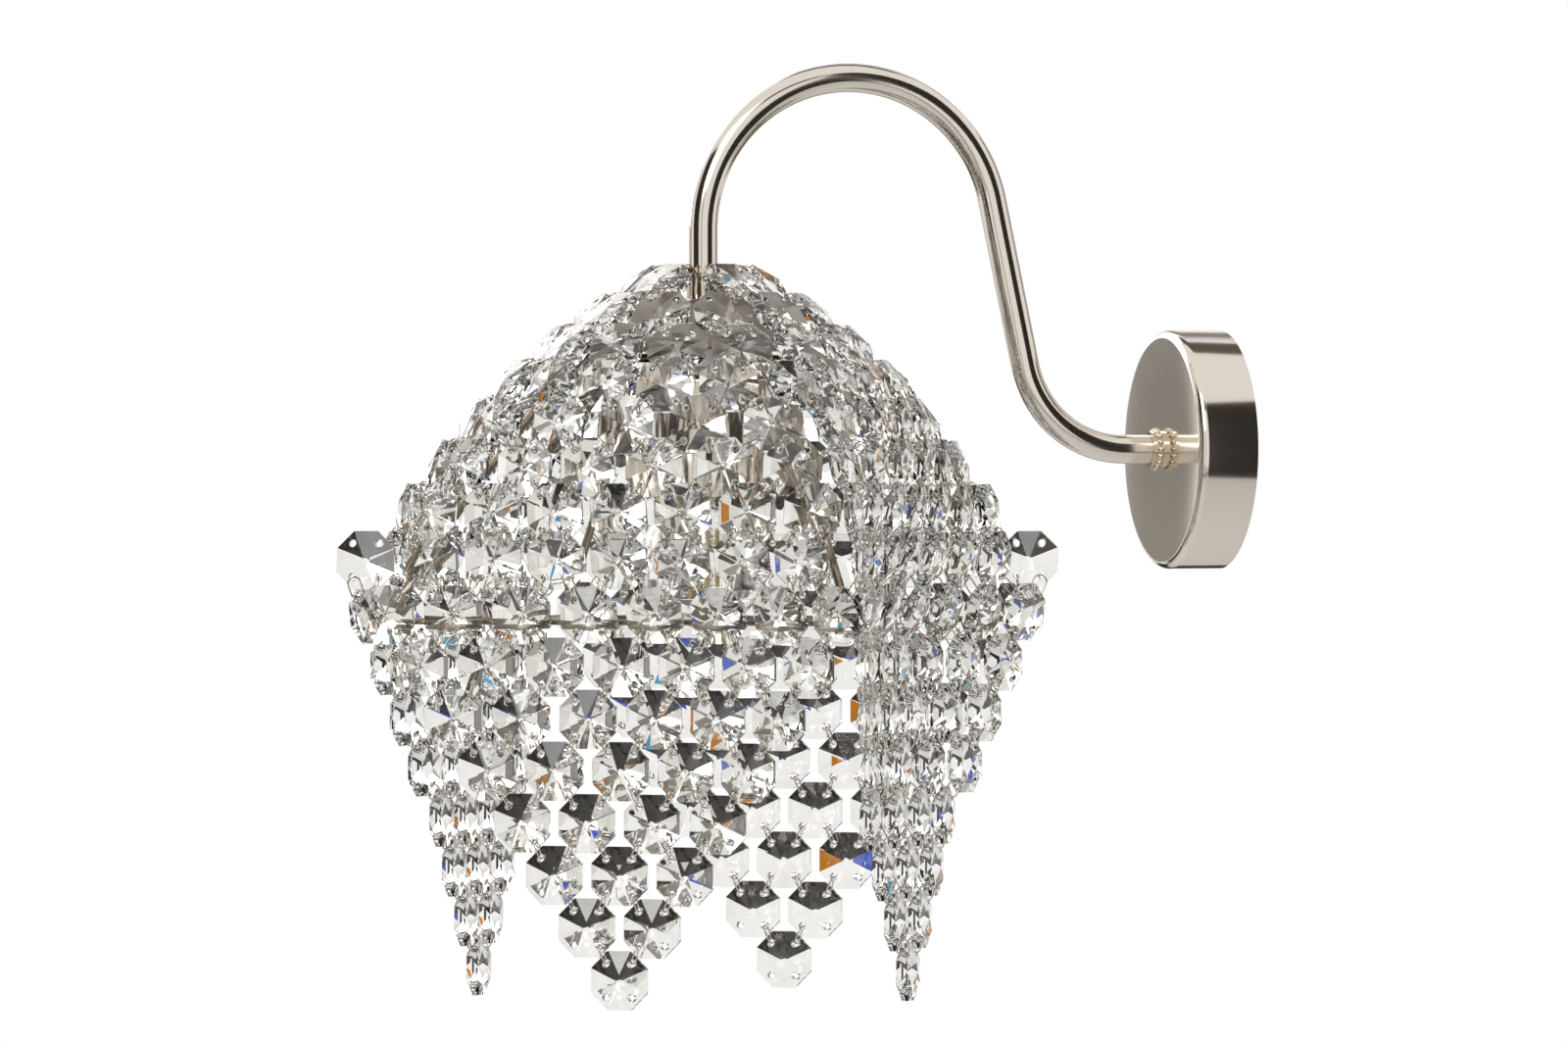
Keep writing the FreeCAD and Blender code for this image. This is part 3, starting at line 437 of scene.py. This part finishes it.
class SCONCE_OT_wall_cup(bpy.types.Operator):
    """Shape the polished wall cup with its rounded front edge"""
    bl_idname = "sconce.wall_cup"
    bl_label = "Wall cup"

    def execute(self, context):
        sizes = context.scene.sconce_sizes
        radius = (CUP_HIGH[2] - CUP_LOW[2]) / 2
        cup = pressed_cup("polished_wall_cup", radius, (0, CUP_LOW[1], 0), (0, CUP_HIGH[1], 0), (0, -1, 0),
                          sizes.cup_edge, ARM_HOLE / 2, sizes.cup_wall, 160)
        finish_piece(cup, bpy.data.materials["polished_nickel"], "body", ("wall_cup",))
        return {"FINISHED"}


class SCONCE_OT_arm(bpy.types.Operator):
    """Draw the arm tube out of a ring: straight runs extruded and bends spun"""
    bl_idname = "sconce.arm"
    bl_label = "Arm tube"

    def execute(self, context):
        sizes = context.scene.sconce_sizes
        radius = (TUBE_HIGH[0] - TUBE_LOW[0]) / 2
        top = TUBE_HIGH[2] - radius
        lean = sizes.foot_lean
        side = Vector((0, math.cos(lean), math.sin(lean)))
        foot_y = -sizes.foot_reach
        bend = sizes.foot_bend
        bend_y = foot_y + bend * math.tan((math.pi / 2 - lean) / 2)
        span = Vector((0, AXIS_Y - foot_y, 0)).dot(side) + top * side.z
        arch = -span / (1 + side.y - side.z)
        arch_centre = Vector((0, AXIS_Y + arch, top - arch))
        bend_centre = Vector((0, bend_y, bend))
        bend_end = bend_centre - side * bend
        arch_start = arch_centre + side * arch
        low_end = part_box("crown_disc")[1][2]
        deselect()
        bpy.ops.mesh.primitive_circle_add(vertices=56, radius=radius, location=(0, CUP_LOW[1], 0),
                                          rotation=(math.pi / 2, 0, 0))
        tube = start_piece("polished_arm_tube")
        bpy.ops.object.mode_set(mode="EDIT")
        bpy.ops.mesh.select_mode(type="EDGE")
        bpy.ops.mesh.select_all(action="SELECT")
        bpy.ops.mesh.extrude_region_move(TRANSFORM_OT_translate={"value": (0, bend_y - CUP_LOW[1], 0)})
        bpy.ops.mesh.spin(steps=28, angle=math.pi / 2 - lean, center=bend_centre, axis=(1, 0, 0))
        bpy.ops.mesh.extrude_region_move(TRANSFORM_OT_translate={"value": arch_start - bend_end})
        bpy.ops.mesh.spin(steps=72, angle=lean - math.pi, center=arch_centre, axis=(1, 0, 0))
        bpy.ops.mesh.extrude_region_move(
            TRANSFORM_OT_translate={"value": (0, 0, low_end - arch_centre.z)})
        outwards(tube)
        thicken(tube, radius - sizes.tube_bore / 2)
        clean(tube, 40.0)
        finish_piece(tube, bpy.data.materials["polished_nickel"], "body", ("arm_tube",))
        return {"FINISHED"}


class SCONCE_OT_head(bpy.types.Operator):
    """Shape the bronzed cap from a sphere and the polished lampholder cup from a cylinder"""
    bl_idname = "sconce.shade_head"
    bl_label = "Shade head"

    def execute(self, context):
        low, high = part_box("shade_cap")
        rise = high[2] - low[2]
        reach = (high[0] - low[0]) / 2
        ball = (reach * reach + rise * rise) / (2 * rise)
        deselect()
        bpy.ops.mesh.primitive_uv_sphere_add(segments=112, ring_count=144, radius=ball,
                                             location=(AXIS_X, AXIS_Y, high[2] - ball))
        cap = start_piece("bronzed_shade_cap")
        bpy.ops.object.mode_set(mode="EDIT")
        bpy.ops.mesh.select_all(action="SELECT")
        bpy.ops.mesh.bisect(plane_co=(AXIS_X, AXIS_Y, low[2]), plane_no=(0, 0, 1), clear_inner=True)
        pick(cap, "VERT", lambda co, normal: math.hypot(co.x - AXIS_X, co.y - AXIS_Y) < NIPPLE_HOLE)
        bpy.ops.mesh.delete(type="VERT")
        outwards(cap)
        thicken(cap, CAP_WALL)
        clean(cap, 40.0)
        finish_piece(cap, bpy.data.materials["bronzed_cap"], "body", ("shade_cap",))

        low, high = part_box("holder_cup")
        radius = (high[0] - low[0]) / 2
        cup = pressed_cup("polished_holder_cup", radius, (AXIS_X, AXIS_Y, high[2]), (AXIS_X, AXIS_Y, low[2]),
                          (0, 0, 1), HOLDER_EDGE, NIPPLE_HOLE, HOLDER_WALL, 128)
        finish_piece(cup, bpy.data.materials["polished_nickel"], "body", ("holder_cup",))
        return {"FINISHED"}


class SCONCE_OT_lamp(bpy.types.Operator):
    """Add the lamp's glass stem and its upright filaments"""
    bl_idname = "sconce.lamp"
    bl_label = "Lamp"

    def execute(self, context):
        sizes = context.scene.sconce_sizes
        low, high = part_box("bulb_glass")
        globe = (high[0] - low[0]) / 2
        middle = low[2] + globe
        stem_low = middle + sizes.filament_length / 2
        deselect()
        bpy.ops.mesh.primitive_cylinder_add(vertices=32, radius=STEM_RADIUS, depth=STEM_FOOT,
                                            location=(AXIS_X, AXIS_Y, stem_low + STEM_FOOT / 2))
        stem = start_piece("lamp_stem")
        for rise, wide in STEM_STEPS:
            top = max(v.co.z for v in stem.data.vertices)
            pick(stem, "FACE", lambda centre, normal: normal.z > 0.9 and abs(centre.z - top) < 1e-5)
            bpy.ops.mesh.extrude_region_move(TRANSFORM_OT_translate={"value": (0, 0, rise)})
            bpy.ops.transform.resize(value=(wide, wide, 1.0))
            bpy.ops.object.mode_set(mode="OBJECT")
        bevel = stem.modifiers.new("soft", "BEVEL")
        bevel.width = STEM_EDGE
        bevel.segments = 3
        bpy.context.view_layer.objects.active = stem
        bpy.ops.object.modifier_apply(modifier=bevel.name)
        clean(stem, 50.0)
        finish_piece(stem, bpy.data.materials["clear_bulb_glass"], "bulb")
        for i in range(sizes.filament_count):
            a = math.tau * i / sizes.filament_count
            deselect()
            bpy.ops.mesh.primitive_cylinder_add(
                vertices=12, radius=FILAMENT_RADIUS, depth=sizes.filament_length,
                location=(AXIS_X + FILAMENT_RING * math.cos(a),
                          AXIS_Y + FILAMENT_RING * math.sin(a), middle))
            filament = start_piece("lamp_filament_%d" % (i + 1))
            pick(filament, "FACE", lambda centre, normal: abs(normal.z) > 0.9)
            bpy.ops.mesh.bevel(offset=FILAMENT_EDGE, segments=2, affect="EDGES")
            clean(filament, 40.0)
            finish_piece(filament, bpy.data.materials["filament_phosphor"], "bulb")
        return {"FINISHED"}


class SCONCE_OT_finishes(bpy.types.Operator):
    """Make the finishes and dress every carried-over piece"""
    bl_idname = "sconce.finishes"
    bl_label = "Finishes"

    def execute(self, context):
        colours = context.scene.sconce_finishes
        made = {
            "polished_nickel": metal("polished_nickel", colours.nickel, 0.03, 0.10, 40.0, 0.94),
            "nickel_wire": metal("nickel_wire", colours.wire, 0.16, 0.3, 150.0, 0.75, 0.3),
            "bronzed_cap": metal("bronzed_cap", colours.cap, 0.22, 0.38, 80.0, 0.7, 0.3),
            "zinc_steel": metal("zinc_steel", (0.66, 0.66, 0.64), 0.28, 0.45, 120.0, 0.8, 0.5),
            "brass": metal("bright_brass", (0.80, 0.64, 0.36), 0.16, 0.3, 120.0, 0.85, 0.3),
            "crystal": crystal_material(colours.crystal_ior),
            "bulb_glass": bulb_material(),
            "white_insulator": moulded("white_insulator", (0.80, 0.79, 0.75), 0.42),
            "grey_bush": moulded("grey_bush", (0.12, 0.12, 0.125), 0.55),
            "filament": moulded("filament_phosphor", (0.90, 0.72, 0.30), 0.5),
        }
        for entry in frame["record"]["subparts"]:
            dress(entry["node"], made[entry["material_slot"]])
        return {"FINISHED"}


class SCONCE_OT_links(bpy.types.Operator):
    """Lighten the hundreds of wire links to a few dozen faces each"""
    bl_idname = "sconce.links"
    bl_label = "Wire links"

    def execute(self, context):
        share = context.scene.sconce_sizes.link_detail
        for node in sorted(NODES):
            if not node.endswith("_links"):
                continue
            source = NODES[node]
            deselect()
            piece = source.copy()
            piece.data = source.data.copy()
            piece.name = node.replace("_links", "_wire_loops")
            piece.parent = None
            del piece["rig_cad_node"]
            context.collection.objects.link(piece)
            piece.select_set(True)
            bpy.context.view_layer.objects.active = piece
            bpy.ops.object.mode_set(mode="EDIT")
            bpy.ops.mesh.select_all(action="SELECT")
            bpy.ops.mesh.remove_doubles(threshold=MERGE)
            bpy.ops.object.mode_set(mode="OBJECT")
            fewer = piece.modifiers.new("fewer", "DECIMATE")
            fewer.ratio = min(share, MOST_LINK_FACES / len(piece.data.polygons))
            bpy.ops.object.modifier_apply(modifier=fewer.name)
            clean(piece, 50.0)
            finish_piece(piece, bpy.data.materials["nickel_wire"], body_of(source)[0],
                         (node,))
        return {"FINISHED"}


class SCONCE_OT_studio(bpy.types.Operator):
    """Set the floor, the lights, the surroundings and the camera"""
    bl_idname = "sconce.studio"
    bl_label = "Studio"

    def execute(self, context):
        make_floor(context.scene.sconce_finishes.floor)
        make_world()
        for card in CARDS:
            make_card(*card)
        make_lights()
        make_camera()
        context.scene.view_settings.view_transform = "Standard"
        return {"FINISHED"}


def make_floor(colour):
    """A wide pale floor well below the sconce."""
    deselect()
    bpy.ops.mesh.primitive_plane_add(size=5.0, location=(0, 0, FLOOR_HEIGHT))
    floor = bpy.context.object
    floor.name = "studio_floor"
    settle(floor)
    material, nodes, links, shader = new_material("pale_floor")
    noise = object_noise(nodes, links, 2.0)
    tint = ramp(nodes, links, noise.outputs["Fac"],
                [(0.3, [c * 0.98 for c in colour]), (0.7, list(colour))])
    links.new(tint.outputs["Color"], shader.inputs["Base Color"])
    shader.inputs["Roughness"].default_value = 0.8
    floor.data.materials.append(material)


def make_card(name, azimuth, elevation, distance, wide, tall, colour):
    """A studio card outside the picture that glass and metal see, facing the shade."""
    a, e = math.radians(azimuth), math.radians(elevation)
    towards = Vector((math.sin(a) * math.cos(e), -math.cos(a) * math.cos(e), math.sin(e)))
    deselect()
    bpy.ops.mesh.primitive_plane_add(size=1.0, location=(0, 0, 0))
    card = bpy.context.object
    card.name = name
    card.scale = (wide, tall, 1.0)
    card.rotation_euler = (-towards).to_track_quat("Z", "Y").to_euler()
    card.location = Vector((0, AXIS_Y, 0)) + towards * distance
    settle(card)
    material, nodes, links, shader = new_material(name + "_face")
    noise = object_noise(nodes, links, 3.0)
    tint = ramp(nodes, links, noise.outputs["Fac"],
                [(0.35, [c * 0.6 for c in colour]), (0.65, list(colour))])
    links.new(tint.outputs["Color"], shader.inputs["Base Color"])
    shader.inputs["Roughness"].default_value = 0.9
    card.data.materials.append(material)
    card.visible_camera = False
    card.visible_diffuse = False
    card.visible_shadow = False


def make_world():
    """White behind the object, also in glass and metal, and a plain even light."""
    world = bpy.data.worlds.new("studio")
    bpy.context.scene.world = world
    world.use_nodes = True
    nodes = world.node_tree.nodes
    links = world.node_tree.links
    nodes.clear()
    path = nodes.new("ShaderNodeLightPath")
    first = nodes.new("ShaderNodeMath")
    first.operation = "MAXIMUM"
    links.new(path.outputs["Is Camera Ray"], first.inputs[0])
    links.new(path.outputs["Is Glossy Ray"], first.inputs[1])
    seen = nodes.new("ShaderNodeMath")
    seen.operation = "MAXIMUM"
    links.new(first.outputs["Value"], seen.inputs[0])
    links.new(path.outputs["Is Transmission Ray"], seen.inputs[1])
    soft = nodes.new("ShaderNodeBackground")
    soft.inputs["Strength"].default_value = WORLD_LEVEL
    white = nodes.new("ShaderNodeBackground")
    white.inputs["Color"].default_value = (1.0, 1.0, 1.0, 1.0)
    white.inputs["Strength"].default_value = 1.0
    mix = nodes.new("ShaderNodeMixShader")
    links.new(seen.outputs["Value"], mix.inputs["Fac"])
    links.new(soft.outputs["Background"], mix.inputs[1])
    links.new(white.outputs["Background"], mix.inputs[2])
    out = nodes.new("ShaderNodeOutputWorld")
    links.new(mix.outputs["Shader"], out.inputs["Surface"])


def make_lights():
    """A broad lamp high on each side of the shade, well outside the picture."""
    for name, place, size, power in LAMPS:
        deselect()
        bpy.ops.object.light_add(type="AREA", location=place)
        lamp = bpy.context.object
        lamp.name = "studio_" + name
        lamp.data.size = size
        lamp.data.energy = power
        aim = Vector((0, AXIS_Y, 0)) - Vector(place)
        lamp.rotation_euler = aim.to_track_quat("-Z", "Y").to_euler()


def make_camera():
    """A long lens at the photograph's angle, framed as the photograph is."""
    a = math.radians(VIEW_AZIMUTH)
    towards = Vector((math.sin(a), -math.cos(a), 0))
    y = -(PHOTO_WALL_PIXEL[0] - PHOTO_WIDTH / 2) * PHOTO_MM_PER_PIXEL * MM / math.sin(a)
    z = (PHOTO_WALL_PIXEL[1] - PHOTO_HEIGHT / 2) * PHOTO_MM_PER_PIXEL * MM
    target = Vector((0, y, z))
    deselect()
    bpy.ops.object.camera_add(location=target + towards * CAMERA_DISTANCE)
    camera = bpy.context.object
    camera.rotation_euler = (-towards).to_track_quat("-Z", "Y").to_euler()
    width = PHOTO_WIDTH * PHOTO_MM_PER_PIXEL * MM
    camera.data.sensor_width = 36.0
    camera.data.lens = 36.0 * CAMERA_DISTANCE / width
    camera.data.clip_end = 50.0
    bpy.context.scene.camera = camera


class SCONCE_PT_panel(bpy.types.Panel):
    """The sconce's pieces and settings"""
    bl_idname = "SCONCE_PT_panel"
    bl_label = "Sconce"
    bl_space_type = "VIEW_3D"
    bl_region_type = "UI"
    bl_category = "Sconce"

    def draw(self, context):
        layout = self.layout
        for group in (context.scene.sconce_sizes, context.scene.sconce_finishes):
            for name in group.__annotations__:
                layout.prop(group, name)
        for operator in OPERATORS:
            layout.operator(operator.bl_idname)


OPERATORS = (SCONCE_OT_finishes, SCONCE_OT_wall_cup, SCONCE_OT_arm, SCONCE_OT_head, SCONCE_OT_lamp,
             SCONCE_OT_links, SCONCE_OT_studio)
CLASSES = (SconceSizes, SconceFinishes, SCONCE_PT_panel) + OPERATORS


def register():
    for item in CLASSES:
        bpy.utils.register_class(item)
    bpy.types.Scene.sconce_sizes = bpy.props.PointerProperty(type=SconceSizes)
    bpy.types.Scene.sconce_finishes = bpy.props.PointerProperty(type=SconceFinishes)


def unregister():
    del bpy.types.Scene.sconce_finishes
    del bpy.types.Scene.sconce_sizes
    for item in reversed(CLASSES):
        bpy.utils.unregister_class(item)


def main():
    register()
    bpy.ops.sconce.finishes()
    bpy.ops.sconce.wall_cup()
    bpy.ops.sconce.arm()
    bpy.ops.sconce.shade_head()
    bpy.ops.sconce.lamp()
    bpy.ops.sconce.links()
    bpy.ops.sconce.studio()


if __name__ == "__main__":
    main()
